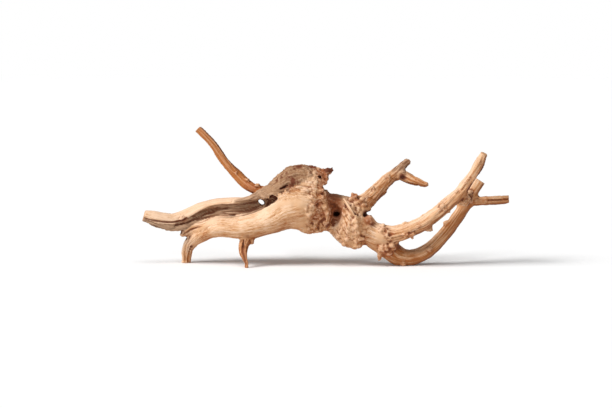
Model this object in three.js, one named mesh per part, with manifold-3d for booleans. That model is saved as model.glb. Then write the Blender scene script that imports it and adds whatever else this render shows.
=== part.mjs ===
// A worn piece of driftwood: one grown root with a burl, a forked foot and slim limbs at both ends.
// Millimetres, +Z up, +X along the piece from the foot to the limbs, +Y towards its back.
import * as THREE from 'three';
import { mergeVertices } from 'three/examples/jsm/utils/BufferGeometryUtils.js';
import Module from 'manifold-3d';

const wasm = await Module();
wasm.setup();

// Full thickness of each limb where its share is 1.
const TRUNK_THICK = 28;
const STRAND_THICK = 24.6;
const CREST_THICK = 28;
const CROWN_THICK = 84;
const BEAK_THICK = 16;
const NECK_THICK = 48;
const BRANCH_THICK = 21;
const FORK_THICK = 13;
const ARM_THICK = 19.6;
const TWIG_THICK = 11.6;
const BACK_ROOT_THICK = 12.8;
const TOE_THICK = 12;
const RIDGE_THICK = 12;

// Width of the channel along the front, and of the hole that goes right through from front to back.
const CHANNEL_WIDTH = 11;
const HOLE_WIDTH = 7;

const RINGS_PER_STATION = 2;
const SIDES = 12;
const FLUTE_COUNT = 3;

const WOOD_COLOUR = 0xd2a47d;
const WOOD_ROUGHNESS = 0.82;

function toSolid(geometry) {
  geometry.deleteAttribute('normal');
  geometry.deleteAttribute('uv');
  const merged = mergeVertices(geometry, 1e-4);
  return new wasm.Manifold(new wasm.Mesh({
    numProp: 3,
    vertProperties: new Float32Array(merged.attributes.position.array),
    triVerts: new Uint32Array(merged.index.array),
  }));
}

function toGeometry(solid) {
  const mesh = solid.getMesh();
  const geometry = new THREE.BufferGeometry();
  geometry.setAttribute('position', new THREE.BufferAttribute(mesh.vertProperties, 3));
  geometry.setIndex(new THREE.BufferAttribute(mesh.triVerts, 1));
  return geometry;
}

// A limb follows stations of [x, y, z, share of thick], closed at both ends. Its section is oval, deeper
// than it is tall by the factor depth, and fluted, with flutes that turn slowly along it.
function limb({ thick, depth = 1, flute = 0.05, turn = 1.2, sides = SIDES, rings = RINGS_PER_STATION }, stations) {
  const path = new THREE.CatmullRomCurve3(stations.map(([x, y, z]) => new THREE.Vector3(x, y, z)));
  const girth = new THREE.CatmullRomCurve3(stations.map((s, i) => new THREE.Vector3(i, s[3], 0)));
  const steps = (stations.length - 1) * rings;
  const back = new THREE.Vector3(0, 1, 0);
  const positions = [];
  const index = [];
  for (let i = 0; i <= steps; i += 1) {
    const t = i / steps;
    const centre = path.getPoint(t);
    const along = path.getTangent(t);
    const deepAxis = back.clone().addScaledVector(along, -back.dot(along)).normalize();
    const tallAxis = along.clone().cross(deepAxis);
    const radius = 0.5 * thick * girth.getPoint(t).y;
    for (let j = 0; j < sides; j += 1) {
      const angle = (2 * Math.PI * j) / sides;
      const wave = 1 + flute * Math.cos(FLUTE_COUNT * angle + turn * i / rings);
      const point = centre.clone()
        .addScaledVector(tallAxis, Math.cos(angle) * radius * wave)
        .addScaledVector(deepAxis, Math.sin(angle) * radius * wave * depth);
      positions.push(point.x, point.y, point.z);
    }
  }
  for (let i = 0; i < steps; i += 1) {
    for (let j = 0; j < sides; j += 1) {
      const a = i * sides + j;
      const b = i * sides + ((j + 1) % sides);
      index.push(a, a + sides, b, b, a + sides, b + sides);
    }
  }
  for (const [ring, reverse] of [[0, false], [steps, true]]) {
    const centre = path.getPoint(ring / steps);
    const middle = positions.length / 3;
    positions.push(centre.x, centre.y, centre.z);
    for (let j = 0; j < sides; j += 1) {
      const a = ring * sides + j;
      const b = ring * sides + ((j + 1) % sides);
      index.push(middle, reverse ? b : a, reverse ? a : b);
    }
  }
  const geometry = new THREE.BufferGeometry();
  geometry.setAttribute('position', new THREE.Float32BufferAttribute(positions, 3));
  geometry.setIndex(index);
  return toSolid(geometry);
}

function knob(x, y, z, across, tall = across, deep = across) {
  const ball = new THREE.IcosahedronGeometry(0.5, 1);
  ball.scale(across, deep, tall);
  ball.translate(x, y, z);
  return toSolid(ball);
}

function joined(solids) {
  return solids.reduce((whole, next) => whole.add(next));
}

function trunk() {
  const stem = limb({ thick: TRUNK_THICK, depth: 1.15, sides: 16 }, [
    [-176, 30, -3, 0.46], [-174, 28, 11, 0.52], [-170, 24, 22, 0.62], [-160, 18, 34, 0.72],
    [-146, 12, 43, 0.8], [-131, 6, 48, 0.92], [-112, 2, 48, 1.02], [-94, 0, 50, 1.18],
    [-79, 0, 54, 1.26], [-64, 0, 60, 1.5], [-49, 0, 67, 1.7], [-34, 0, 71, 1.9],
  ]);
  const ridge = limb({ thick: RIDGE_THICK, depth: 1.4 }, [
    [-141, 6, 53, 0.9], [-153, 10, 50, 1], [-165, 14, 47, 1], [-174, 17, 43, 0.8], [-179, 18, 40, 0.35],
  ]);
  return stem.add(ridge);
}

function strand() {
  return limb({ thick: STRAND_THICK, depth: 1.12 }, [
    [-225, 6, 62, 0.55], [-215, 7, 59, 0.76], [-203, 9, 55, 0.84], [-191, 12, 53, 0.92],
    [-179, 15, 55, 1], [-166, 17, 60, 1], [-154, 18, 66, 0.98], [-139, 18, 70, 0.96],
    [-121, 17, 72, 0.94], [-104, 15, 73, 0.92], [-87, 12, 76, 0.94], [-70, 8, 83, 1.05],
  ]);
}

function crest() {
  return limb({ thick: CREST_THICK, depth: 1.5 }, [
    [-111, 8, 79, 0.2], [-97, 4, 82, 0.28], [-86, 2, 87, 0.4], [-76, 1, 91, 0.5],
    [-66, 0, 95, 0.52], [-56, 0, 102, 0.64], [-46, 0, 109, 0.95], [-33, 1, 111, 1.03], [-20, 2, 109, 0.9],
  ]);
}

function crown() {
  const mass = limb({ thick: CROWN_THICK, depth: 0.74, sides: 16, flute: 0.03 }, [
    [-56, 1, 76, 0.64], [-42, 2, 81, 0.93], [-31, 2, 83, 1], [-20, 2, 82, 0.98], [-10, 4, 80, 0.78],
  ]);
  return joined([mass,
    knob(-14, 0, 54, 34, 30, 40), knob(-20, -21, 68, 22, 26, 18), knob(-24, -22, 88, 22, 30, 18),
    knob(-12, -18, 84, 18, 30, 18), knob(-28, 22, 86, 34, 44, 26),
  ]);
}

function beak() {
  return limb({ thick: BEAK_THICK, depth: 1.5, sides: 10, rings: 2 }, [
    [-18, 2, 111, 1.2], [-9, 1, 113, 1], [-2, 0, 115, 0.66], [5, -1, 118, 0.26],
  ]);
}

function neck() {
  const mass = limb({ thick: NECK_THICK, depth: 0.9, sides: 16, flute: 0.04 }, [
    [-17, 8, 70, 1], [-2, 10, 67, 1], [10, 10, 64, 0.93], [22, 7, 58, 1.06], [32, 4, 54, 1.14],
    [42, 2, 49, 0.84], [53, 1, 42, 0.66], [65, 0, 37, 0.64], [78, 0, 35, 0.58],
  ]);
  return joined([mass,
    knob(29, -14, 62, 26, 34, 18), knob(40, -12, 47, 24, 26, 20), knob(32, 0, 38, 32, 30, 34),
    knob(52, -7, 57, 14, 12, 18), knob(35, 4, 86, 11, 15, 11), knob(18, 18, 54, 30, 36, 24),
    knob(67, -2, 19, 11, 22, 11), knob(74, -2, 26, 16, 16, 14),
  ]);
}

function branch() {
  const main = limb({ thick: BRANCH_THICK, depth: 1.05 }, [
    [32, 3, 61, 1.4], [40, 6, 70, 1.3], [48, 10, 78, 1.15], [57, 14, 86, 1], [67, 19, 95, 0.85],
    [77, 24, 105, 0.75], [88, 28, 114, 0.65], [95, 31, 121, 0.6], [102, 33, 125, 0.48],
  ]);
  const fork = limb({ thick: FORK_THICK, depth: 1.1, sides: 12 }, [
    [89, 29, 112, 0.85], [98, 26, 109, 1], [106, 22, 106, 0.92], [114, 18, 103, 0.75],
    [122, 15, 100, 0.58], [126, 13, 101, 0.36],
  ]);
  return joined([main, fork, knob(76, 21, 105, 14), knob(56, 10, 81, 14, 12, 14)]);
}

function frontArm() {
  return joined([
    limb({ thick: ARM_THICK }, [
      [62, -2, 40, 1.3], [76, -6, 41, 1.15], [86, -9, 42, 1.1], [97, -12, 46, 1.04], [109, -15, 51, 1],
      [121, -17, 57, 1], [130, -18, 65, 0.96], [140, -19, 73, 0.95], [150, -20, 83, 0.92],
      [161, -21, 93, 0.88], [169, -23, 103, 0.8], [177, -26, 114, 0.7], [183, -29, 126, 0.65],
      [187, -32, 135, 0.58], [189, -34, 142, 0.5],
    ]),
    knob(124, -18, 51, 16, 12, 16), knob(118, -17, 60, 12), knob(168, -20, 99, 16, 20, 16),
  ]);
}

function backArm() {
  return joined([
    limb({ thick: ARM_THICK }, [
      [62, 2, 32, 1.3], [79, 5, 19, 1.3], [89, 6, 12, 1.3], [101, 7, 9, 1.06], [112, 8, 11, 0.98],
      [123, 8, 16, 0.94], [134, 8, 24, 0.94], [145, 8, 36, 0.9], [156, 8, 49, 0.85],
      [166, 8, 64, 0.85], [174, 8, 78, 0.85], [183, 8, 92, 0.8], [190, 8, 105, 0.74],
    ]),
    knob(129, 4, 21, 13), knob(148, 6, 50, 12, 18, 14),
  ]);
}

function twig() {
  return joined([
    limb({ thick: TWIG_THICK, depth: 1.1, sides: 12 }, [
      [171, 8, 80, 1], [183, 7, 80, 1.06], [195, 6, 80, 1.04], [207, 4, 81, 1], [225, 2, 83, 0.94],
    ]),
    knob(197, 5, 80, 10, 13, 13),
  ]);
}

function backRoot() {
  return limb({ thick: BACK_ROOT_THICK, depth: 1.1, sides: 12 }, [
    [-64, 12, 88, 1], [-77, 18, 92, 1], [-89, 23, 95, 1.08], [-99, 28, 101, 1.16], [-109, 33, 109, 1.14],
    [-119, 38, 118, 0.98], [-128, 43, 128, 0.9], [-144, 51, 148, 0.84], [-162, 58, 166, 0.82],
  ]);
}

function toeRoot() {
  const main = limb({ thick: TOE_THICK, depth: 1.15, sides: 12 }, [
    [-94, -1, 46, 1.1], [-97, -5, 35, 1], [-101, -8, 27, 0.92], [-102, -11, 20, 0.82],
    [-100, -13, 12, 0.6], [-98, -15, 5, 0.42], [-98, -16, -2, 0.34],
  ]);
  const spur = limb({ thick: TOE_THICK, sides: 8, rings: 2 }, [
    [-94, -4, 39, 0.6], [-91, -6, 33, 0.5], [-90, -7, 29, 0.3],
  ]);
  return main.add(spur);
}

function channel() {
  return limb({ thick: CHANNEL_WIDTH, depth: 0.9, flute: 0.1, sides: 10 }, [
    [-178, 1, 51, 0.4], [-163, 2, 58, 0.8], [-148, 3, 63, 1], [-130, 2, 66, 1], [-112, 0, 69, 1.05],
    [-95, -2, 72, 1], [-82, -4, 77, 0.9], [-68, -13, 84, 0.7], [-56, -22, 90, 0.3],
  ]);
}

function hole() {
  return limb({ thick: HOLE_WIDTH, depth: 1, sides: 10, rings: 1 }, [
    [-82, -30, 84, 1], [-79, 8, 80, 1], [-78, 40, 76, 1],
  ]);
}

function recesses() {
  return joined([
    knob(8, -24, 67, 12, 34, 16), knob(12, -12, 65, 6, 6, 20), knob(47, -18, 61, 7, 14, 12),
    knob(34, -24, 60, 5, 22, 10),
  ]);
}

function belowFloor() {
  const block = new THREE.BoxGeometry(600, 300, 60);
  block.translate(0, 0, -30);
  return toSolid(block);
}

function driftwood() {
  const wood = joined([
    trunk(), strand(), crest(), crown(), beak(), neck(), branch(), frontArm(), backArm(), twig(),
    backRoot(), toeRoot(),
  ]);
  const carved = wood.subtract(joined([channel(), hole(), recesses(), belowFloor()]));
  const geometry = toGeometry(carved);
  geometry.computeBoundingBox();
  const middle = geometry.boundingBox.getCenter(new THREE.Vector3());
  geometry.translate(-middle.x, -middle.y, 0);
  return geometry;
}

const material = new THREE.MeshStandardMaterial({
  color: WOOD_COLOUR, roughness: WOOD_ROUGHNESS, metalness: 0,
});
const mesh = new THREE.Mesh(driftwood(), material);
mesh.name = 'driftwood';

const part = new THREE.Group();
part.name = 'driftwood_piece';
part.add(mesh);

export default part;
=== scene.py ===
import math

import bpy
import numpy as np
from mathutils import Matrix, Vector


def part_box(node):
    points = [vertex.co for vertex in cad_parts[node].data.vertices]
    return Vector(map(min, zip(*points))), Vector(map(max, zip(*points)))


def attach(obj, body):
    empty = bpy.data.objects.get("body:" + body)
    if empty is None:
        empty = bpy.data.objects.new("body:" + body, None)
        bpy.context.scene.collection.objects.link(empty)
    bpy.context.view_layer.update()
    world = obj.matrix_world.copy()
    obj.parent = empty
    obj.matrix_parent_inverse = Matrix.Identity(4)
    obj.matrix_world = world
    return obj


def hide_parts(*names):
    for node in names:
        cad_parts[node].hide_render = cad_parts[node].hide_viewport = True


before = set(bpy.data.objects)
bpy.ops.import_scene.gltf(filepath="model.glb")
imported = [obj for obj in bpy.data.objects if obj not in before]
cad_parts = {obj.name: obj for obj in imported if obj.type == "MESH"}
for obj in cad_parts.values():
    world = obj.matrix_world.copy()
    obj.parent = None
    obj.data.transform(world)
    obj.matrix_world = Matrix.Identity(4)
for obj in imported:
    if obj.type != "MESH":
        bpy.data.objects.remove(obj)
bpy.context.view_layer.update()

import openvdb
from bpy.props import FloatProperty, FloatVectorProperty, IntProperty, PointerProperty
from mathutils import Vector

bl_info = {
    "name": "Driftwood piece",
    "version": (1, 0, 0),
    "blender": (4, 5, 0),
    "location": "3D View > Sidebar > Driftwood",
    "description": "Grows a worn driftwood root around its packed frame and lights it in a plain studio",
    "category": "Object",
}

NODE = "driftwood"
BODY = "root"
LOW, HIGH = (np.array(corner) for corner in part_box(NODE))
LENGTH = float(HIGH[0] - LOW[0])
MIDDLE = (LOW + HIGH) / 2
MM = 0.001


def srgb(red, green, blue):
    """A colour given as 0 to 255 display values, in the linear values that Blender uses."""
    values = (red / 255, green / 255, blue / 255)
    return tuple(c / 12.92 if c <= 0.04045 else ((c + 0.055) / 1.055) ** 2.4 for c in values)


# ---------------------------------------------------------------------------------------------
# The limbs, in millimetres: x along the piece, y towards its back, z up from the surface it
# rests on. A station is (x, y, z, half height, half depth).

class Limb:
    """A limb through its stations, with its colours and with sawn or rounded ends."""

    THINNEST = 0.4        # smallest half size of a section, in millimetres

    def __init__(self, stations, tint=0.45, weather=0.0, red=0.0, furrow=0.15, burl=0.0,
                 blend=5.0, sawn_start=False, sawn_end=False, blunt_end=False, step=4.0):
        self.stations = np.array(stations, float)
        self.tones = {"tint": tint, "weather": weather, "red": red, "furrow": furrow, "burl": burl}
        self.blend = blend
        self.sawn = (sawn_start, sawn_end)
        self.flat = (sawn_start, sawn_end or blunt_end)
        self.trace(step)

    def trace(self, step):
        """Samples a smooth curve through the stations, about one sample every step."""
        s = self.stations
        gaps = np.linalg.norm(np.diff(s[:, :3], axis=0), axis=1)
        at = np.concatenate([[0], np.cumsum(gaps)])
        slope = np.gradient(s, at, axis=0) if len(s) > 2 else np.repeat((s[1:] - s[:1]) / gaps, 2, 0)
        count = max(3, int(at[-1] / step) + 1)
        t = np.linspace(0, at[-1], count)
        i = np.clip(np.searchsorted(at, t, side="right") - 1, 0, len(s) - 2)
        h = (at[i + 1] - at[i])[:, None]
        f = ((t - at[i]) / (at[i + 1] - at[i]))[:, None]
        rows = ((1 + 2 * f) * (1 - f) ** 2 * s[i] + f * (1 - f) ** 2 * h * slope[i]
                + f * f * (3 - 2 * f) * s[i + 1] + f * f * (f - 1) * h * slope[i + 1])
        self.centre = rows[:, :3]
        self.half = np.maximum(rows[:, 3:5], self.THINNEST)
        leg = np.diff(self.centre, axis=0)
        self.long = np.linalg.norm(leg, axis=1)
        self.along = leg / self.long[:, None]
        self.reach = np.concatenate([[0], np.cumsum(self.long)])
        back = np.array([0.0, 1.0, 0.0])
        deep = back - (self.along @ back)[:, None] * self.along
        self.deep = deep / np.linalg.norm(deep, axis=1)[:, None]
        self.tall = np.cross(self.along, self.deep)

    def leg(self, k, p):
        """Distance from the limb's skin at leg k, and the place along, up and into its section."""
        q = p - self.centre[k].astype(p.dtype)
        w = q @ self.along[k].astype(p.dtype)
        t = np.clip(w / self.long[k], 0, 1)
        over = w - t * self.long[k]
        u = q @ self.tall[k].astype(p.dtype)
        v = q @ self.deep[k].astype(p.dtype)
        a = self.half[k, 0] + t * (self.half[k + 1, 0] - self.half[k, 0])
        b = self.half[k, 1] + t * (self.half[k + 1, 1] - self.half[k, 1])
        m = np.minimum(a, b)
        d = np.sqrt(over * over + (u * m / a) ** 2 + (v * m / b) ** 2) - m
        return d, self.reach[k] + w, u, v

    def ends(self, p, d):
        """Cuts d off square at the limb's sawn and blunt ends."""
        if self.flat[0]:
            d = np.maximum(d, -(p - self.centre[0].astype(p.dtype)) @ self.along[0].astype(p.dtype))
        if self.flat[1]:
            d = np.maximum(d, (p - self.centre[-1].astype(p.dtype)) @ self.along[-1].astype(p.dtype))
        return d


STEM = Limb([
    (-176, 30, -3, 6, 6), (-174.6, 28, 11, 7, 7), (-170.6, 24, 22, 8.4, 8.5), (-160, 18, 34, 9.8, 11),
    (-146, 12, 43, 11, 13.5), (-131, 6, 48, 12.7, 16), (-112, 2, 48, 14.3, 18), (-94, 0, 50, 16.5, 20),
    (-79, 0, 54.4, 17, 22), (-64, 0, 60.8, 19.4, 25), (-49, 0, 69, 21.2, 28), (-34, 0, 73, 24.6, 29),
], tint=0.34, furrow=0.15, blend=7)
RIDGE = Limb([
    (-136, 7, 55, 5, 9), (-153, 10, 50, 5.6, 8), (-165, 14, 46, 5.8, 7), (-173, 17, 40.6, 5.6, 6),
    (-177.4, 18, 37, 3.8, 4),
], tint=0.4, furrow=0.4, blend=3)
STRAND = Limb([
    (-226, 6, 61.6, 7.2, 6.5), (-215, 7, 58.4, 9.8, 8.5), (-203, 9, 54.4, 10.9, 10),
    (-191, 12, 52.4, 11.7, 11.5), (-179, 15, 54.6, 12.3, 12.5), (-166, 17, 60, 12.2, 13),
    (-154, 18, 66, 12.1, 13.5),
    (-139, 18, 70, 11.8, 13.5), (-121, 17, 72, 11.6, 13), (-104, 15, 73, 11.3, 13), (-87, 12, 76, 11.5, 14),
    (-70, 8, 83, 13, 17),
], tint=0.16, furrow=0.25, blend=3, sawn_start=True)
CREST = Limb([
    (-111, 8, 79, 2.6, 5), (-97, 4, 82, 4, 7), (-86, 2, 87, 5.6, 9), (-76, 1, 90.5, 7, 12),
    (-66, 0, 92.4, 7.2, 15), (-56, 0, 98, 8.8, 18), (-46, 0, 105.4, 12.4, 20), (-33, 1, 110, 13.4, 21),
    (-20, 2, 108.5, 12, 20),
], tint=0.45, weather=0.95, furrow=0.85, burl=0.1, blend=4)
CROWN = Limb([
    (-56, 1, 79, 26, 24), (-42, 2, 85, 36.4, 28), (-31, 2, 85, 39.4, 30), (-20, 2, 83, 40, 30),
    (-9, 4, 81, 36, 27), (-3, 4, 80, 32, 24),
], tint=0.38, red=0.05, furrow=0.2, burl=0.25, blend=7, step=8, blunt_end=True)
LIP = Limb([
    (-9, -7, 92, 5, 9), (-4, -8, 84, 7, 12), (0, -8, 75, 7, 14), (1, -7, 64, 7, 14), (-1, -5, 54, 7, 12),
], tint=0.55, red=0.16, furrow=0.1, burl=0.95, blend=4)
SHOULDER = Limb([
    (-9, 12, 90, 8, 13), (-3, 16, 77, 9, 14), (-3, 16, 63, 9, 14), (-8, 12, 53, 7, 13),
], tint=0.4, red=0.05, furrow=0.2, burl=0.5, blend=7)
CHIN = Limb([(-26, 0, 56, 11, 14), (-14, -1, 52, 12, 15), (-4, 2, 55, 10, 12)], tint=0.45, burl=0.6, blend=5)
BEAK = Limb([
    (-20, 2, 111, 9.4, 13), (-9, 1, 113.6, 8.2, 10), (-1, 0, 116, 6.4, 7), (6, -1, 120, 3, 3.4),
], tint=0.6, weather=0.35, red=0.7, furrow=0.9, burl=1.0, blend=2)
NECK = Limb([
    (-17, 8, 70, 24, 22), (-2, 10, 67, 24, 21), (10, 10, 65, 23.5, 20), (22, 8, 60.5, 26, 21),
    (32, 6, 54, 26.5, 20), (42, 3, 49, 20.5, 19.6), (53, 1, 42, 16, 17.4), (65, 0, 37, 15.6, 15.4),
    (78, 0, 35, 14, 13),
], tint=0.3, red=0.12, furrow=0.14, burl=0.15, blend=6)
LUMP_LOW = Limb([(14, 2, 50, 11.6, 12), (24, -1, 40, 13.4, 13), (36, -1, 34.5, 12, 12)],
                tint=0.52, red=0.14, furrow=0.1, burl=0.75, blend=5)
LUMP = Limb([
    (27, -8, 66, 12, 12), (33, -8, 52, 17, 14), (33, -3, 40, 15, 14), (36, -1, 33, 11, 12),
], tint=0.52, red=0.14, furrow=0.1, burl=0.75, blend=5)
ROPE = Limb([(22, -13, 84, 2, 3), (27, -17.6, 77, 2.6, 3), (32, -20, 70, 2.8, 3), (38, -19, 62, 3, 3)],
            tint=0.3, furrow=0.2, blend=1.4)
SEAM = Limb([(37, -18, 54, 4, 5), (38, -16, 46, 4, 5), (38.5, -13, 36, 4, 5), (40, -9, 27, 4.4, 5)],
            tint=0.3, red=0.1, burl=0.6, blend=2.5)
KNUCKLE = Limb([(44, -4, 56, 6, 8), (49, -6, 58, 6, 8), (53.5, -7, 57, 4.4, 5.5)],
               tint=0.6, red=0.35, burl=0.6, blend=2.5)
NUB = Limb([(37, 4, 79, 5.6, 6), (35.4, 3, 83, 5.2, 6), (34.6, 2, 86, 4.6, 5)],
           tint=0.7, weather=0.3, red=0.3, burl=0.8, blend=2)
BRANCH = Limb([
    (32, 3, 61, 15, 14), (40, 6, 70, 13.6, 13.5), (48, 10, 78, 12, 12), (57, 14, 85.6, 10.4, 11),
    (67, 19, 95, 9.2, 9.5), (77, 24, 104.6, 8.6, 8.5), (88, 28, 113.6, 7.4, 7.4), (95, 31, 121, 6.3, 6.6),
    (102, 33, 125.5, 5, 5),
], tint=0.66, weather=0.3, red=0.14, furrow=0.6, burl=0.4, blend=5)
FORK = Limb([
    (88, 29, 111.6, 6.4, 6.5), (98, 26, 109, 7.1, 7), (106, 22, 105.6, 6.4, 6.4), (114, 18, 103, 5, 5.2),
    (122, 15, 100, 3.8, 4), (126.5, 13, 100.5, 2.6, 2.8),
], tint=0.85, weather=0.2, red=0.1, furrow=0.7, blend=4, sawn_end=True)
FRONT_ARM = Limb([
    (62, -2, 39, 12.6, 12), (76, -6, 39.8, 11, 11.5), (86, -9, 41, 10.6, 10.6), (97, -12, 45, 10.4, 10),
    (109, -15, 50.4, 9.8, 9.8), (121, -17, 56.6, 9.4, 9.6), (130.5, -18, 64.2, 9, 9.3),
    (140.5, -19, 72.3, 8.8, 9.2), (150.6, -20, 82.2, 8.6, 9), (161.4, -21, 92.4, 8, 8.6),
    (168.6, -23, 103, 7.2, 8), (176.6, -26, 114, 6.4, 7.2),
    (183.2, -29, 126, 6.8, 6.6), (187.2, -32, 135, 6.2, 6), (189.8, -34, 142, 4.8, 5),
], tint=0.46, red=0.08, furrow=0.6, burl=0.1, blend=5, sawn_end=True)
BACK_ARM = Limb([
    (62, 2, 32, 12.5, 12), (79, 5, 19, 12.9, 12), (89, 6, 12, 12.2, 11.5), (101, 7, 9.3, 10.6, 10.6),
    (112, 8, 11, 9.8, 10), (123, 8, 16, 9.4, 9.6), (134, 8, 24.4, 9, 9.4), (144.6, 8, 36.2, 8.5, 9),
    (155.4, 8, 49.3, 8.2, 8.8), (165.4, 8, 64.2, 8.1, 8.6), (173.8, 8, 78, 8, 8.4), (177, 8, 83.4, 7.6, 8),
], tint=0.82, furrow=0.35, blend=5)
BLOCK = Limb([(171, 8, 74, 7.8, 8), (180, 8, 91, 8.4, 8), (189.4, 8, 106, 8, 7.4)],
             tint=0.5, furrow=0.3, blend=1.5, sawn_end=True)
TWIG = Limb([
    (168, 8, 80, 6.8, 7), (176, 8, 80, 6.8, 6.8), (183, 7, 80.2, 6.7, 6.6), (193, 6, 80.2, 6.2, 6),
    (198, 5.5, 80.6, 6.6, 6.8), (203, 5, 80.8, 6, 6), (207, 4, 81.2, 6, 6.2), (225.5, 2, 83, 5.7, 5.6),
], tint=0.95, weather=0.05, furrow=0.5, blend=4, sawn_end=True)
BACK_ROOT = Limb([
    (-64, 12, 88, 6, 7), (-77, 18, 92, 6.2, 7), (-89.5, 23, 94, 6.8, 7.4), (-100, 28, 99.8, 7.4, 7.6),
    (-109.4, 33, 108.2, 7.2, 7.4), (-119.2, 38, 117.4, 6.2, 6.6), (-128.2, 43, 127.8, 5.8, 6.2),
    (-143.2, 51, 148.4, 5.4, 5.6), (-161.4, 58, 166.4, 5.3, 5.3),
], tint=1.35, weather=0.06, furrow=0.5, blend=4, sawn_end=True)
TOE = Limb([
    (-94.4, -1, 46, 7.4, 8), (-97, -5, 36, 7.6, 7), (-100.8, -8, 27, 7, 6.6), (-101.4, -11, 20, 6.3, 6),
    (-100.2, -13, 12, 4.8, 4.8), (-98, -15, 5, 3.4, 3.4), (-97.6, -16, -2, 2.4, 2.4),
], tint=0.95, weather=0.3, red=0.35, furrow=0.9, blend=2.5)
TOE_SPUR = Limb([(-95, -4, 40, 4, 4.4), (-91, -6, 34, 3.2, 3.2), (-90, -7, 30, 2.2, 2.4)],
                tint=0.9, red=0.3, furrow=0.5, blend=1.5)
SPUR = Limb([(72.4, -3, 26, 7, 6.5), (67.4, -5, 17, 5.2, 4.6), (65.6, -6, 9.5, 2.8, 2.8)],
            tint=0.5, red=0.35, furrow=0.4, burl=0.7, blend=3)
LIMBS = [STEM, RIDGE, STRAND, CREST, CROWN, LIP, SHOULDER, CHIN, BEAK, NECK, LUMP_LOW, LUMP, ROPE, SEAM,
         KNUCKLE, NUB, BRANCH, FORK, FRONT_ARM, BACK_ARM, BLOCK, TWIG, BACK_ROOT, TOE, TOE_SPUR, SPUR]

# What is worn away: the long channel along the front, cracks, creases and the recess at the neck.
CHANNEL = Limb([
    (-186, 1, 49, 2, 3), (-175, 2, 52, 5, 5), (-161, 3, 57.5, 5.6, 6), (-149, 3, 64, 6.2, 7),
    (-136, 2, 68, 7.4, 8), (-112, 0, 69.5, 8.2, 9), (-99, -2, 71.5, 8.2, 9), (-87, -5, 75, 6.6, 9),
    (-76, -9, 78.5, 5, 9), (-69, -14, 81.6, 3.6, 7), (-62, -20, 85.6, 1.6, 4),
], step=3)
TOP_CRACK = Limb([
    (-226, -1, 60, 1, 2.5), (-215, -2, 57, 1.1, 2.6), (-203, -1, 55.2, 1.2, 2.6), (-191, 0, 54.4, 1.3, 2.6),
    (-179, 2.5, 56, 1.6, 3), (-172, 3.5, 59, 1.5, 2.6),
], step=3)
RIDGE_CRACK = Limb([(-174, 10, 40, 1.3, 3), (-167, 7, 44, 1.1, 2.6), (-157, 1, 48, 0.9, 2),
                    (-146, -5, 50.5, 0.6, 1.2)], step=3)
SLIT = Limb([(-56.6, -22, 98, 0.6, 3), (-52, -23, 100, 1.3, 5), (-48, -24, 102, 0.6, 3)], step=3)
CREASE = Limb([(24, -15, 86, 0.8, 2), (30, -20.5, 77, 1.1, 3), (35.5, -20.6, 67, 1.1, 2.6)], step=3)
CREASE_RIGHT = Limb([(37, -19, 64, 0.8, 2), (43, -14, 71, 0.8, 2.4), (48, -8, 79, 0.6, 2)], step=3)
TWIG_CRACK = Limb([(200, -0.6, 81.6, 0.4, 0.8), (212, -1.6, 82, 0.6, 1.2), (226, -3.2, 83.4, 0.7, 1.4)],
                  step=3)
ARM_GROOVE = Limb([(164, -29.6, 97, 0.5, 1), (172, -32.2, 108, 0.7, 1.3), (180, -34.8, 121, 0.7, 1.3),
                   (186.6, -37.6, 133, 0.5, 1)], step=3)
FOOT_GROOVE = Limb([(-172, 22, -3, 1.5, 4), (-171.6, 21, 7, 1.0, 2.8), (-170, 18.2, 15, 0.7, 1.8),
                    (-167, 14.6, 24, 0.5, 1.2)], step=3)
TOE_GROOVE = Limb([(-101, -11.8, 34, 0.8, 1.6), (-102, -14.6, 27, 1.1, 2.4), (-102, -17, 20, 1.1, 2.2),
                   (-100.4, -17.8, 12, 0.9, 1.8), (-98.6, -18.2, 5, 0.6, 1.2)], step=3)
RECESS = Limb([(4, -15, 90, 3, 4), (7, -14, 80, 4.6, 8), (12, -13, 70, 6, 10), (11, -13, 61, 5.6, 9),
               (7, -14, 51, 3, 6), (4, -17, 46, 1.6, 3)], step=3)

# Each groove with the softness of its edge, in millimetres, how much painted shade it gets and how far that
# shade reaches from it. The channel has a grey tone of its own instead.
GROOVES = [
    (CHANNEL, 2.5, 0, 1), (TOP_CRACK, 0.6, 0.7, 0.35), (RIDGE_CRACK, 0.8, 0.1, 1), (SLIT, 0.8, 0.9, 1),
    (CREASE, 1.0, 0.16, 1), (CREASE_RIGHT, 1.0, 0.16, 1), (TWIG_CRACK, 0.6, 0.2, 0.6),
    (ARM_GROOVE, 0.8, 0.08, 0.6), (FOOT_GROOVE, 0.8, 0.12, 0.3), (TOE_GROOVE, 0.8, 0.42, 0.9),
    (RECESS, 2.5, 0.24, 1.4),
]

# Hollows: centre, half sizes across, into the wood and up, and tilt in degrees in the front plane.
HOLLOWS = [
    ((-65, -17, 86.6), (3.4, 8, 2.4), -20),
    ((-93, -3, 68), (2.4, 6, 1.8), -10),
    ((13, -2, 65), (3.4, 11, 2.2), 12),
    ((57, 0, 68), (8, 40, 3.4), 35), ((48.5, -8, 65), (3.4, 10, 2.2), 30),
    ((3, 0, 98.6), (9, 40, 5.2), 0),
    ((-9, -25, 78), (2.6, 3, 2.2), 0),
    ((-12, -25, 60), (3, 3, 2), 20),
    ((-3, -11, 117), (1.6, 5, 3), 20), ((4, -5, 112), (2, 6, 2.6), 30),
    ((-8, -11, 112), (2, 5, 1.8), 0), ((-1, -9, 109.6), (2, 5, 2.2), 10),
    ((-14, -13, 112), (1.6, 4, 2), 0),
]
# The hole right through the wood under the crest: its centre, direction, half sizes and tilt.
HOLE_CENTRE = (-80.2, 8, 78.8)
HOLE_WAY = (-0.031, 0.994, -0.103)
HOLE_HALF = (4.3, 2.6)
HOLE_TILT = -38


def smooth_min(a, b, k):
    """The smaller distance, rounded where the two come within k of each other."""
    h = np.maximum(k - np.abs(a - b), 0) / k
    return np.minimum(a, b) - h * h * k * 0.25


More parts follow.
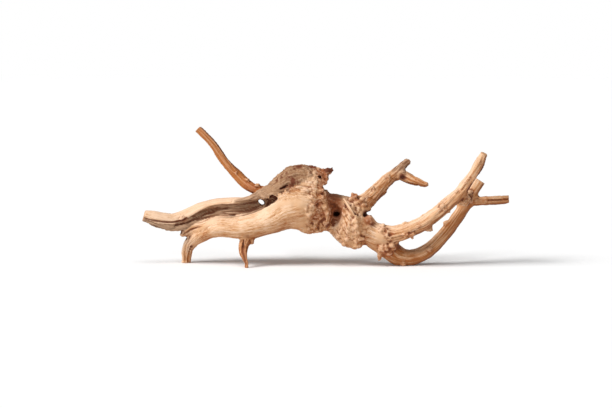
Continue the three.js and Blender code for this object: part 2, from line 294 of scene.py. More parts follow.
def smooth_max(a, b, k):
    """The larger distance, rounded in the same way."""
    return -smooth_min(-a, -b, k)


def turned(q, tilt):
    """The x and z of the offsets q, turned by some degrees in the front plane."""
    c, s = math.cos(math.radians(tilt)), math.sin(math.radians(tilt))
    return c * q[..., 0] + s * q[..., 2], c * q[..., 2] - s * q[..., 0]


class Field:
    """Distance from the wood's skin, in millimetres, on a regular grid round the whole piece."""

    FAR = 12.0                                     # distances are kept up to here
    LOW, HIGH = (-240.0, -52.0, -9.0), (240.0, 74.0, 182.0)
    LOBE_OUT, LOBE_SIZE = (0.65, 0.95), (0.75, 1.05)   # of a knob's lobes, in knob sizes
    OUTER_LOBE = 0.68                              # size of its outer lobes beside the middle one
    KNOB_SUNK, KNOB_BLEND = 0.12, 0.45             # how deep it sits and how far it runs out
    PIT_OUT = 0.9                                  # how far out its pit is centred
    PIT_HALF, PIT_TILT = (0.46, 0.7, 0.34), 20

    def __init__(self, cell):
        self.cell = cell
        self.low = np.array(self.LOW)
        self.count = np.ceil((np.array(self.HIGH) - self.low) / cell).astype(int)
        self.value = np.full(self.count, self.FAR, np.float32)

    def window(self, low, high):
        """The part of the grid between two corners, and its points."""
        i0 = np.clip(((low - self.low) / self.cell).astype(int), 0, self.count - 1)
        i1 = np.clip(np.ceil((high - self.low) / self.cell).astype(int) + 1, 1, self.count)
        part = tuple(slice(a, b) for a, b in zip(i0, i1))
        axes = [(np.arange(a, b) * self.cell + o).astype(np.float32) for a, b, o in zip(i0, i1, self.low)]
        points = np.stack(np.meshgrid(*axes, indexing="ij"), -1)
        return part, points

    def limb(self, limb, margin):
        """The limb's own distance over the window that holds it."""
        size = limb.half.max(1)[:, None] + margin
        part, points = self.window((limb.centre - size).min(0), (limb.centre + size).max(0))
        own = np.full(points.shape[:3], self.FAR, np.float32)
        start = np.array([s.start for s in part])
        for k in range(len(limb.long)):
            r = max(limb.half[k].max(), limb.half[k + 1].max()) + margin
            low = np.minimum(limb.centre[k], limb.centre[k + 1]) - r
            high = np.maximum(limb.centre[k], limb.centre[k + 1]) + r
            i0 = np.maximum(((low - self.low) / self.cell).astype(int) - start, 0)
            i1 = np.ceil((high - self.low) / self.cell).astype(int) + 1 - start
            near = tuple(slice(a, max(a, b)) for a, b in zip(i0, i1))
            box = points[near]
            if box.size:
                own[near] = np.minimum(own[near], limb.leg(k, box)[0])
        return part, limb.ends(points, own)

    def join(self, limb):
        """Grows a limb onto the wood."""
        part, own = self.limb(limb, limb.blend + 2)
        self.value[part] = smooth_min(self.value[part], own, limb.blend)

    def wear(self, limb, soft):
        """Wears a groove with the shape of a limb."""
        part, own = self.limb(limb, soft + 2)
        self.value[part] = smooth_max(self.value[part], -own, soft)

    def hollow(self, centre, half, tilt, soft=1.2):
        """Wears an egg-shaped hollow, tilted in the front plane."""
        centre, half = np.array(centre, float), np.array(half, float)
        part, points = self.window(centre - half.max() - soft - 2, centre + half.max() + soft + 2)
        q = points - centre.astype(np.float32)
        x, z = turned(q, tilt)
        r = np.sqrt((x / half[0]) ** 2 + (q[..., 1] / half[1]) ** 2 + (z / half[2]) ** 2)
        self.value[part] = smooth_max(self.value[part], -(r - 1) * half.min(), soft)

    def skin_at(self, x, z, side):
        """The y of the outermost skin in front of (side -1) or behind (side 1) the place x, z."""
        i, k = int(round((x - self.low[0]) / self.cell)), int(round((z - self.low[2]) / self.cell))
        inside = np.flatnonzero(self.value[i, :, k] < 0)
        return self.low[1] + (inside[0] if side < 0 else inside[-1]) * self.cell if len(inside) else None

    def lobe(self, centre, half, blend):
        """Joins an egg-shaped lobe to the wood."""
        reach = half.max() + blend + 2
        part, points = self.window(centre - reach, centre + reach)
        r = np.linalg.norm((points - centre.astype(np.float32)) / half.astype(np.float32), axis=-1)
        self.value[part] = smooth_min(self.value[part], (r - 1) * half.min(), blend)

    def knob(self, x, z, side, size, lobes, pit, rng):
        """Grows a knob of several lobes out of the skin, sunk in the middle if it has a pit."""
        y = self.skin_at(x, z, side)
        if y is None:
            return None
        for n in range(lobes):
            turn = rng.uniform(0, 2 * math.pi)
            out = 0.0 if n == 0 else size * rng.uniform(*self.LOBE_OUT)
            half = size * rng.uniform(*self.LOBE_SIZE, 3) * (1.0 if n == 0 else self.OUTER_LOBE)
            deep = y - side * size * self.KNOB_SUNK
            self.lobe(np.array([x + out * math.cos(turn), deep, z + out * math.sin(turn)]), half,
                      size * self.KNOB_BLEND)
        if pit:
            wide, into, high = self.PIT_HALF
            self.hollow((x, y + side * size * self.PIT_OUT, z), (size * wide, size * pit * into, size * high),
                        self.PIT_TILT)
        return x, y, z, size

    def bore(self, centre, way, half, tilt, soft=1.0):
        """A slanted oval hole right through the wood."""
        centre, way = np.array(centre, float), np.array(way) / np.linalg.norm(way)
        size = np.array([max(half) + 8, 60, max(half) + 14])
        part, points = self.window(centre - size, centre + size)
        q = points - centre.astype(np.float32)
        q = q - (q @ way.astype(np.float32))[..., None] * way.astype(np.float32)
        x, z = turned(q, tilt)
        r = np.sqrt((x / half[0]) ** 2 + (z / half[1]) ** 2)
        self.value[part] = smooth_max(self.value[part], -(r - 1) * min(half), soft)

    def rest_on_floor(self):
        """Cuts the wood off flat where it rests."""
        z = (np.arange(self.count[2]) * self.cell + self.low[2]).astype(np.float32)
        self.value = np.maximum(self.value, -z)

    def skin(self):
        """Points and outward quads of the surface where the distance is zero, without loose bits."""
        grid = openvdb.FloatGrid(background=self.FAR)
        grid.copyFromArray(np.clip(self.value, -self.FAR, self.FAR))
        points, quads = grid.convertToQuads(isovalue=0.0)
        points = points.astype(float) * self.cell + self.low
        a, b, c, d = (points[quads[:, i]] for i in range(4))
        if np.einsum("ij,ij->i", (a + b + c + d) / 4, np.cross(c - a, d - b)).sum() < 0:
            quads = quads[:, ::-1]
        return main_body(points, quads.astype(np.int64))


def main_body(points, quads):
    """Keeps the largest connected body of the mesh."""
    body = np.arange(len(points))
    while True:
        lowest = body[quads].min(1)
        joined = body.copy()
        np.minimum.at(joined, quads.ravel(), np.repeat(lowest, 4))
        joined = joined[joined]
        if (joined == body).all():
            break
        body = joined
    kept = body == np.bincount(body).argmax()
    place = np.cumsum(kept) - 1
    return points[kept], place[quads[kept[quads[:, 0]]]]


def wood_field(cell):
    """The whole piece: limbs grown together, then worn, then swollen by lobes and knobs."""
    field = Field(cell)
    for limb in LIMBS:
        field.join(limb)
    for groove, soft, _, _ in GROOVES:
        field.wear(groove, soft)
    for centre, half, tilt in HOLLOWS:
        field.hollow(centre, half, tilt)
    field.bore(HOLE_CENTRE, HOLE_WAY, HOLE_HALF, HOLE_TILT)
    for x, y, z, *half in LOBES:
        field.lobe(np.array((x, y, z), float), np.array(half, float), LOBE_BLEND * min(half))
    rng = np.random.default_rng(KNOB_SEED)
    field.knobs = [field.knob(*knob, rng) for knob in KNOBS]
    field.rest_on_floor()
    return field


# How far out from the skin other wood is looked for, in millimetres, and how much it counts.
SHADE_REACHES = ((2.5, 0.3), (5.0, 0.35), (9.0, 0.35))


def hidden(field, points, normal):
    """How much the wood round each point shades it, from 0 in the open to 1 in a crevice."""
    shade = np.zeros(len(points))
    for reach, share in SHADE_REACHES:
        p = (points + normal * reach - field.low) / field.cell
        p = np.clip(p, 0, field.count - 1.001)
        i = p.astype(int)
        f = p - i
        room = np.zeros(len(points))
        for dx, dy, dz in np.ndindex(2, 2, 2):
            part = (np.where(dx, f[:, 0], 1 - f[:, 0]) * np.where(dy, f[:, 1], 1 - f[:, 1])
                    * np.where(dz, f[:, 2], 1 - f[:, 2]))
            room += part * field.value[i[:, 0] + dx, i[:, 1] + dy, i[:, 2] + dz]
        shade += share * np.clip(1 - room / reach, 0, 1)
    return shade


LIMB_REACH = 14.0     # past this distance from its skin, in millimetres, a limb gives no tone


def nearest(limb, points):
    """Distance, and place along, up and into the section, of the closest leg to each point."""
    best = np.full((len(points), 4), np.inf)
    size = limb.half.max() + LIMB_REACH
    low, high = limb.centre.min(0) - size, limb.centre.max(0) + size
    inside = np.flatnonzero(((points > low) & (points < high)).all(1))
    p = points[inside]
    rows = best[inside]
    for k in range(len(limb.long)):
        found = np.stack(limb.leg(k, p), 1)
        closer = found[:, 0] < rows[:, 0]
        rows[closer] = found[closer]
    best[inside] = rows
    return best


def soft_step(x, low, high):
    """0 below low, 1 above high and smooth between them."""
    t = np.clip((x - low) / (high - low), 0, 1)
    return t * t * (3 - 2 * t)


def corner_normals(points, quads):
    """The skin's outward direction at every point."""
    a, b, c, d = (points[quads[:, i]] for i in range(4))
    face = np.cross(c - a, d - b)
    normal = np.zeros_like(points)
    for i in range(4):
        np.add.at(normal, quads[:, i], face)
    return normal / np.maximum(np.linalg.norm(normal, axis=1), 1e-9)[:, None]


# Lobes: egg-shaped swellings of the knuckles, rings and clusters. Three numbers are the centre and
# three the half sizes.
LOBE_BLEND = 0.6
LOBES = [
    (52.4, -10, 60, 4.8, 5, 4.6), (56.4, -8.6, 56.6, 3.2, 4, 3), (48.8, -13, 58.6, 3, 3, 2.8),
    (38.7, -9, 26.4, 6.5, 6, 3.6), (36, -12, 31, 3.4, 3, 3), (22, -8, 28.5, 4, 5, 3.4),
    (70.7, -15.6, 48.6, 4, 3.4, 3.6), (75, -17.4, 42, 2.8, 3.4, 4.8), (66.6, -15, 45.6, 2.4, 2.4, 3),
    (70, -6.9, 51.4, 3.2, 4, 2.6), (78.4, -17.4, 37, 2.4, 2.4, 2.6), (67.7, -11.4, 23.4, 4.2, 4, 5.4),
    (80.2, -12.6, 27, 5, 3, 3.6), (73.4, -13, 25.4, 2.6, 3, 3.4), (77.5, -11, 16.6, 4.2, 3, 2.8),
    (66.4, -7, 14.8, 3, 3.4, 4.6), (71.2, -11, 18.6, 2.2, 3, 2.8), (83, -10, 23, 3, 3, 3),
    (74, -13.4, 31.6, 4, 2.2, 1.8), (96.6, -12.1, 55.4, 3, 3.2, 2.6), (118, -16, 64.6, 3.4, 3.4, 3),
    (93.5, -21.8, 41.2, 2.6, 2.6, 2.3), (96.6, -21.7, 39, 3.1, 2.9, 2.6),
    (99.6, -23.1, 41.8, 2.9, 2.6, 2.1), (102.7, -21.9, 39.8, 3.4, 2.9, 2.6),
    (105.8, -23.7, 42.6, 2.9, 2.6, 2.6), (105.4, -19.4, 37.2, 2.3, 2.6, 3.4),
    (125.5, -16.6, 48.4, 4.8, 5, 4.6), (122, -19, 50, 3, 3.4, 3), (128.6, -16.2, 47, 2.8, 3, 2.8),
    (141.5, -27.8, 77.2, 3.8, 3, 3.5), (149.4, -23, 70, 2.8, 2.8, 2.6), (137.6, -23.8, 80, 3.5, 3.5, 3),
    (158.7, -28.4, 95.4, 1.8, 1.6, 1.8), (168.5, -13, 89, 3.6, 6, 4), (172.5, -7, 86, 4, 9, 5),
    (171.5, -6, 80, 3.6, 7, 3.8), (177, -3, 91.5, 3.8, 6, 3.8), (178, 0, 80.5, 3.6, 5, 3.6),
    (127.9, -1.6, 20.4, 4, 2, 3.4), (95.9, -1, 3.4, 4, 4, 3.4), (148.6, 6, 52.4, 4.6, 4.6, 3.8),
    (58, 9, 77.6, 5, 5.4, 4.6), (72.4, 18, 89.6, 4, 4.4, 3.6), (100.6, 33, 127.2, 4.8, 4.6, 4.6),
    (93, 28, 123, 3, 3, 2.4), (84, 24, 113.5, 3, 3, 2.2), (99, 24, 113.5, 3.4, 3.4, 2.6),
    (-178.8, 14.6, 37.4, 3.6, 4.4, 3.6), (7, -1, 120, 2.2, 2.6, 2.2), (3.4, -3, 116, 2.4, 3, 2.6),
    (-3, -4, 121, 2.6, 3.4, 2), (-9, -4, 120.6, 2.6, 3.4, 2), (0, -8, 110, 3.2, 3, 3.4),
    (-7, -10, 113, 3.4, 3, 3), (-2, -12, 104, 3, 3, 3), (-34, -2, 124, 4, 5, 2),
    (-22, -3, 121.6, 3.4, 4, 2), (-22, -3, 47, 9.5, 13, 6.6), (53.5, 5, 72, 4, 6, 5),
    (61, 12, 83, 4, 5, 4), (-30, -24, 93, 3, 2.4, 3), (44, -6, 84, 4, 4, 3.4), (-6.5, -18, 92, 3, 3, 3.4),
    (112, -24.8, 52, 3.1, 2.5, 2.5), (-10, -10, 45, 4, 6, 3), (171.5, -18.8, 92, 2.9, 2.9, 3.1),
    (173.8, -17.8, 87, 3.4, 3.1, 3.4), (175, -15.8, 83, 3.4, 3.6, 3.1), (171.5, -14.5, 78.3, 3.4, 4, 3),
    (166.5, -20.3, 82.5, 4.1, 3.6, 2.9), (177.5, -11, 89, 2.4, 3, 3), (168.5, -21.8, 88, 2.4, 2.4, 2.4),
    (197, -1, 81.5, 2, 1.8, 3.2), (143.6, -28.2, 74, 4.2, 2.5, 4), (166, -14, 82.5, 7, 6.5, 7),
    (170, -15.5, 80, 4, 4.4, 4.4), (172.5, -11, 84, 5, 6, 5), (32.6, 1, 89.6, 2.4, 3.4, 2.4),
    (37.4, 0, 88.6, 2.4, 3, 2.6), (35, -2, 85.6, 4.4, 3, 3), (87.6, -19, 26.4, 1.8, 2.4, 2.2),
    (70, -14, 20.6, 2, 2, 2.4), (75, -14, 21.6, 1.8, 2, 1.6), (139, -27.8, 77.4, 2.8, 2.2, 2.2),
    (144.6, -28.4, 73, 3, 2.2, 2.8), (136, -26.2, 71.6, 2.2, 2, 2.2), (-85, 17, 98.4, 4, 4.4, 3),
    (-98, 24, 105, 3.4, 4, 3), (74, -5, 22, 9, 7, 8), (71, -15, 44.6, 3.2, 2.6, 3.2),
    (95, 20.4, 110, 3.4, 2.8, 3), (54, -12.4, 56, 2.2, 2.4, 2), (91.6, 22.4, 113, 2.2, 2.4, 2),
    (68, 15, 86, 2.6, 3, 2.2), (62, 12, 80, 2.4, 3, 2.2), (88, 28, 104.6, 2.6, 3, 2),
    (50, -14, 50, 3.4, 3, 2.8), (46, -16.6, 44, 3.2, 2.8, 3.2), (54, -13, 45.6, 2.6, 2.6, 2.4),
    (44, -15.6, 36, 3.2, 3, 2.8), (49, -14.6, 39, 2.6, 2.4, 2.6),
]

# Knobs: x and z on the piece, the side (-1 front, 1 back), size, lobes and depth of the pit.
KNOB_SEED = 7
KNOBS = [
    (36.8, 57.9, -1, 3.8, 3, 0), (36.9, 51.4, -1, 2.9, 2, 0), (36.9, 44, -1, 3.4, 3, 0.5),
    (38.7, 37.2, -1, 3.4, 2, 0.6), (36.9, 31.6, -1, 2.9, 2, 0), (15.4, 37.8, -1, 3.4, 2, 0),
    (25.8, 36.6, -1, 3.4, 3, 0), (18.4, 44, -1, 3.1, 2, 0), (27.1, 45.2, -1, 2.9, 2, 0),
    (22.1, 51.4, -1, 3.1, 2, 0), (30.8, 56.3, -1, 2.7, 2, 0), (29.5, 66.2, -1, 2.9, 2, 0),
    (22.8, 72.4, -1, 2.9, 2, 0), (22.1, 65, -1, 2.7, 2, 0), (32, 74.9, -1, 3.1, 3, 0),
    (38.1, 79.8, -1, 4, 3, 0), (39.4, 71.2, -1, 2.9, 2, 0), (29.5, 82.3, -1, 3.2, 2, 0),
    (46.1, 77.4, -1, 4, 3, 0), (50.8, 85.3, -1, 3.7, 2, 0.6), (57.8, 95, -1, 4.2, 2, 0.8),
    (75.8, 108.8, -1, 5, 4, 0.25), (94.7, 113.2, -1, 4.5, 3, 0.5), (-9.8, 78.6, -1, 4.7, 4, 0.5),
    (-11.1, 60.7, -1, 4.8, 5, 0.5), (-20.9, 66.2, -1, 3.7, 2, 0), (-18.5, 78.6, -1, 3.4, 2, 0),
    (-4.9, 87.3, -1, 3.7, 3, 0), (-1.2, 76.1, -1, 3.4, 2, 0), (0.6, 66.2, -1, 3.4, 2, 0),
    (-1.2, 56.3, -1, 3.4, 3, 0), (-17.2, 88.5, -1, 3.4, 2, 0), (-25.8, 95.9, -1, 4, 3, 0),
    (-15, 99.6, -1, 4, 3, 0), (-24.6, 73.7, -1, 2.6, 1, 0), (-7.4, 95.9, -1, 3.4, 2, 0),
    (-22.1, 56.3, -1, 3.4, 2, 0), (-14.8, 51.4, -1, 4, 2, 0), (-34.4, 99.6, -1, 3.2, 2, 0),
    (-44.3, 97.1, -1, 3.4, 2, 0), (-178.3, 59.4, -1, 4, 2, 0.5), (-91, 32.2, -1, 2.9, 2, 0),
    (-111.9, 113.2, -1, 3.2, 1, 0), (100, 47, 1, 5, 3, 0.4), (140, 74, 1, 4.4, 2, 0),
    (150, 42, 1, 4.4, 3, 0.4), (60, 88, 1, 5, 3, 0.6), (-60, 70, 1, 5, 3, 0.5), (-130, 50, 1, 5, 3, 0.4),
    (-150, 66, 1, 4.4, 2, 0), (70, 30, 1, 5, 3, 0), (20, 60, 1, 5, 4, 0.5), (30, 45, 1, 5, 3, 0),
    (10, 72, 1, 4.4, 3, 0), (38, 66, 1, 5, 3, 0.4), (-8, 84, 1, 5, 4, 0), (-20, 100, 1, 5, 3, 0.4),
    (-14, 62, 1, 4.4, 3, 0), (-30, 78, 1, 4.4, 3, 0.5), (173.2, 112.6, -1, 2.2, 2, 0.9),
    (168.3, 106.4, -1, 2.2, 1, 0.9), (156, 95, -1, 2, 1, 0.8), (-34, 66, 1, 5, 4, 0.5),
    (-22, 88, 1, 4.6, 3, 0), (-44, 88, 1, 4, 3, 0.4), (4, 58, 1, 4.6, 3, 0), (84, 18, 1, 4.4, 3, 0),
    (120, 14, 1, 4, 2, 0.4), (170, 70, 1, 4.4, 3, 0), (78, 104, 1, 4.4, 3, 0.5), (-100, 104, 1, 4, 2, 0),
    (-200, 55, 1, 4, 2, 0.4), (-110, 44, 1, 4.4, 2, 0),
]

# Sides given painted shade, facing away from the key light: the limb, the way the side faces in the front
# plane in degrees, the x where it starts and ends, and its strength.
PAINTED_SHADE_SIDES = [
    (BACK_ROOT, 30, -170, -106, 0.4), (BACK_ROOT, -100, -104, -84, 0.3), (FRONT_ARM, -24, 168, 196, 0.62),
    (FRONT_ARM, -60, 96, 168, 0.3), (BACK_ARM, -35, 96, 186, 0.36), (BLOCK, -28, 170, 200, 0.5),
    (TWIG, -90, 176, 230, 0.36), (BRANCH, -48, 50, 108, 0.45), (FORK, -95, 92, 130, 0.42),
    (TOE, -10, -112, -90, 0.4), (STEM, -60, -112, -34, 0.22),
]

# Along the strand, in millimetres from its tip, the height in its section under which it is grey.
UNDERSIDE_LINE = ([0, 12, 30, 60, 78, 95, 150, 190], [-2, -2.5, 0, 0.5, 0.5, 4, 4.5, 4])
# Along x, the height above which bark is left on the crest.
BARK_EDGE = ([-90, -74, -57, -44, -40, -32, -20, -6], [80, 84, 92, 97, 102, 105, 113, 130])

# Stains of each tone: centre, radius and strength. Most dark stains are painted shade in hollows, crotches
# and under edges, and a few are dark marks; some red ones are painted shade in the recess at the neck and
# between knobs; the pale stains on the beak are painted highlights and the others pale knots.
STAINS = {
    "red": [
        (9, -8, 70, 16, 1.0), (12, -6, 72, 12, 0.8), (-2, -18, 100, 12, 0.6), (139, -28, 73, 5, 0.3),
        (113, -25, 54, 4, 0.35), (162, -28, 96, 4, 0.3), (-10, -26, 79, 6, 0.9), (-14, -27, 61, 7, 0.8),
        (-8, -22, 66, 9, 0.45), (50, -10, 58, 9, 0.5), (35, -4, 88, 7, 0.5), (73, -12, 44, 7, 0.4),
        (75, -9, 20, 11, 0.6), (-176, 5, 57, 5, 0.6), (-2, -6, 113, 14, 0.9), (52, -13, 58, 8, 0.42),
        (72, -16, 50, 6, 0.5), (80, -17, 42, 4, 0.6), (8, -4, 88, 14, 0.6), (174, -16, 87, 6, 0.5),
        (-90, 20, 96, 9, 0.6), (-99, 24, 99, 8, 0.5), (124, -24, 52, 6, 0.35), (90, -2, 28, 12, 0.5),
        (112, -2, 14, 16, 0.3), (158, -2, 52, 14, 0.25), (46, -14, 50, 6, 0.25),
    ],
    "dark": [
        (12, -2, 65, 5, 0.95), (3, -14, 52, 5, 0.65), (-30, 30, 84, 6, 0.3), (18, 26, 58, 6, 0.3),
        (-65, -14, 86.6, 5, 1.0), (-93, -2, 68, 3.2, 0.9), (-51, -20, 100, 3, 0.6), (48, -6, 64, 6, 0.95),
        (73, -13, 20, 2.4, 0.5), (79, -13, 24, 2, 0.5), (0, -7, 110, 3.5, 0.85), (-13, -11, 112, 4, 0.8),
        (-33, -5, 122, 6, 0.8), (3, -3, 116, 2.5, 0.6), (8, 2, 90, 13, 0.3), (95, 18, 109, 4.6, 0.75),
        (56, -11, 53, 4.4, 0.5), (-97, 24, 92, 5, 0.35), (-86, 18, 86, 5, 0.3), (88, 0, 27, 7, 0.5),
        (-96.5, -11, 41, 5, 0.5),
    ],
    "painted_light_and_bleach": [
        (-4, -8, 117, 4, 0.8), (4, -4, 119, 3, 0.8), (75.8, 17, 107, 6, 0.9), (57.8, 6, 94, 6, 0.9),
        (50, 2, 84, 6, 0.7),
    ],
    "weather": [
        (-174, 24, 8, 20, 0.1), (-37, -10, 108, 17, 0.7), (10, 6, 90, 18, 0.8), (95, 30, 120, 20, 0.55),
    ],
    "furrow": [
        (-172, 24, 12, 26, 0.85), (-150, 8, 48, 16, 0.4), (-34, 30, 66, 44, 0.4), (14, 28, 66, 34, 0.4),
    ],
    "burl": [(-28, 30, 74, 30, 0.75), (49, -13, 42, 11, 0.5)],
    "tint": [(-174, 26, 10, 24, 0.2), (8, -5, 75, 22, 0.3)],
}


def sunk(points, quads, rounds):
    """How far each point lies, in millimetres, below the skin smoothed over so many rounds."""
    here, beside = quads.ravel(), np.roll(quads, -1, 1).ravel()
    count = np.bincount(here, minlength=len(points))[:, None]
    smooth = points
    for _ in range(rounds):
        total = np.stack([np.bincount(here, smooth[beside, i], len(points)) for i in range(3)], 1)
        smooth = (smooth + total / count) / 2
    return np.einsum("ij,ij->i", smooth - points, corner_normals(points, quads)) / MM


class WoodPaint:
    """Tones and grain of every point of the skin, from the limbs, grooves and stains near it."""

    LIMB_TONES = ("tint", "weather", "red", "furrow", "burl")
    LIMB_BLUR = 2.0       # millimetres over which the tones of two limbs run into each other
    SEAM = (0.3, 3)       # gap between two limbs, in millimetres, where their grain is faded out
    END_DEPTH = 1.6       # thickness of a sawn end's own colour, in millimetres
    GRAIN_SHIFT = 37.0    # sets the patterns of two limbs apart, in millimetres
    FARTHEST = 40         # a limb this much farther than the closest one gives no tone

    def __init__(self, points, normal):
        self.points, self.normal = points, normal
        self.found = np.stack([nearest(limb, points) for limb in LIMBS])
        distance = self.found[:, :, 0]
        order = np.argsort(distance, axis=0)
        self.closest = order[0]
        column = np.arange(len(points))
        own = distance[self.closest, column]
        gap = distance[order[1], column] - own
        self.weight = np.exp(-np.minimum(distance - own, self.FARTHEST) / self.LIMB_BLUR)
        self.weight[~np.isfinite(distance)] = 0
        self.weight /= self.weight.sum(0)
        self.tones = {name: np.array([limb.tones[name] for limb in LIMBS]) @ self.weight
                      for name in self.LIMB_TONES}
        self.tones["seam"] = 1 - soft_step(np.where(np.isfinite(gap), gap, 9), *self.SEAM)
        self.tones["dark"] = np.zeros(len(points))
        # Painted shade on the undersides and on the sides facing right, away from the key light, and painted
        # light on the tops and on the sides facing left.
        self.tones["under"] = soft_step(-0.6 * normal[:, 2] + 0.6 * normal[:, 0], -0.2, 0.9)
        self.tones["painted_light_and_bleach"] = soft_step(0.6 * normal[:, 2] - 0.6 * normal[:, 0], 0.2, 0.85)
        rows = self.found[self.closest, column]
        shift = self.closest * self.GRAIN_SHIFT
        self.grain = np.stack([rows[:, 1] + shift * 3, rows[:, 2] + shift, rows[:, 3]], 1)

    def on(self, limb):
        """Which points lie on the limb."""
        return self.closest == LIMBS.index(limb)

    def raise_tone(self, tone, values):
        """Makes a tone at least as strong as the values."""
        self.tones[tone] = np.maximum(self.tones[tone], values)

    def all_over(self):
        """Puts every mark on the wood, in the order in which they lie over each other."""
        self.sawn_ends()
        self.channel()
        self.grooves()
        self.paint_shaded_sides()
        self.stains()
        self.bark()
        self.burl()

    def sawn_ends(self):
        self.tones["end"] = np.zeros(len(self.points))
        for limb in LIMBS:
            for sawn, tip, way in ((limb.sawn[0], 0, -1), (limb.sawn[1], -1, 1)):
                if sawn:
                    out = limb.along[tip] * way
                    near = ((self.points - limb.centre[tip]) @ out > -self.END_DEPTH) & self.on(limb)
                    self.tones["end"][near] = soft_step(self.normal[near] @ out, 0.6, 0.85)

    def channel(self):
        """Weathers the channel and the underside of the strand above it."""
        place, height = self.found[LIMBS.index(STRAND), :, 1:3].T
        underside = soft_step(np.interp(place, *UNDERSIDE_LINE) - height, -1.0, 1.0) * self.on(STRAND)
        front = soft_step(-self.normal[:, 1], -0.25, 0.3)
        underside *= np.maximum(front, soft_step(-self.normal[:, 2], 0.1, 0.5))
        inside = 1 - soft_step(nearest(CHANNEL, self.points)[:, 0], -0.4, 1.6)
        grey = np.maximum(underside, inside)
        self.raise_tone("weather", grey)
        self.raise_tone("furrow", grey * 0.95)

    def grooves(self):
        # Painted shade in and beside each groove.
        for groove, _, strength, reach in GROOVES:
            distance = nearest(groove, self.points)[:, 0]
            self.raise_tone("dark", strength * (1 - soft_step(distance, -0.5, reach)))

    def paint_shaded_sides(self):
        # Painted shade on the sides of limbs that face away from the key light.
        x = self.points[:, 0]
        for limb, turn, start, end, strength in PAINTED_SHADE_SIDES:
            way = np.array([math.cos(math.radians(turn)), 0, math.sin(math.radians(turn))])
            span = soft_step(x, start, start + 6) * (1 - soft_step(x, end - 6, end))
            facing = soft_step(self.normal @ way, 0.35, 1.05)
            self.raise_tone("dark", strength * facing * span * self.on(limb))

    def stains(self):
        for tone, spots in STAINS.items():
            for x, y, z, radius, strength in spots:
                r = np.linalg.norm(self.points - np.array((x, y, z)), axis=1) / radius
                self.raise_tone(tone, np.minimum(self.tones[tone] + strength, 1) * np.exp(-(r ** 3)))

    def bark(self):
        """Leaves weathered bark on the crest, down to a ragged edge."""
        x, y, z = self.points.T
        ragged = 1.5 * np.sin(x * 0.9) + 1.2 * np.sin(x * 2.3 + y * 0.5)
        bark = soft_step(z - np.interp(x, *BARK_EDGE) + ragged, -0.8, 0.8)
        bark *= (x > -92) & (x < 6) & ~self.on(BACK_ROOT)
        self.raise_tone("weather", bark)
        self.raise_tone("furrow", 0.7 * bark)
        self.tones["bark"] = np.maximum(bark * soft_step(x, -96, -50), 1.6 * self.weight[LIMBS.index(BEAK)])

    def burl(self):
        """Roughens and reddens the right end of the crown."""
        x = self.points[:, 0]
        rough = soft_step(x, -36, -14) * (1 - soft_step(x, 6, 16))
        self.raise_tone("burl", rough * 0.95)
        self.raise_tone("red", rough * 0.16)

    def paint_crevice_shade(self, field):
        """Paints shade on the wood that the wood round it hides."""
        self.raise_tone("dark", 0.9 * soft_step(hidden(field, self.points, self.normal), 0.62, 1.05))

    def knobs(self, knobs):
        """Reddens and roughens the wood round each knob and lobe."""
        lobes = [(x, y, z, max(half)) for x, y, z, *half in LOBES]
        for x, y, z, size in lobes + [knob for knob in knobs if knob]:
            r = np.linalg.norm(self.points - np.array((x, y, z)), axis=1) / size
            fade = np.where(r < 2, np.exp(-((r / 1.3) ** 4)), 0)
            self.raise_tone("red", 0.26 * fade)
            self.raise_tone("burl", 0.8 * fade)


# ---------------------------------------------------------------------------------------------
# Node trees

class Wire:
    """An output of a node. Sums and products of wires add math nodes to their tree."""

    def __init__(self, tree, socket):
        self.tree, self.socket = tree, socket

    def __add__(self, other):
        return self.tree.math("ADD", self, other)

    def __sub__(self, other):
        return self.tree.math("SUBTRACT", self, other)

    def __rsub__(self, other):
        return self.tree.math("SUBTRACT", other, self)

    def __mul__(self, other):
        return self.tree.math("MULTIPLY", self, other)

    def __rtruediv__(self, other):
        return self.tree.math("DIVIDE", other, self)

    def __abs__(self):
        return self.tree.math("ABSOLUTE", self)


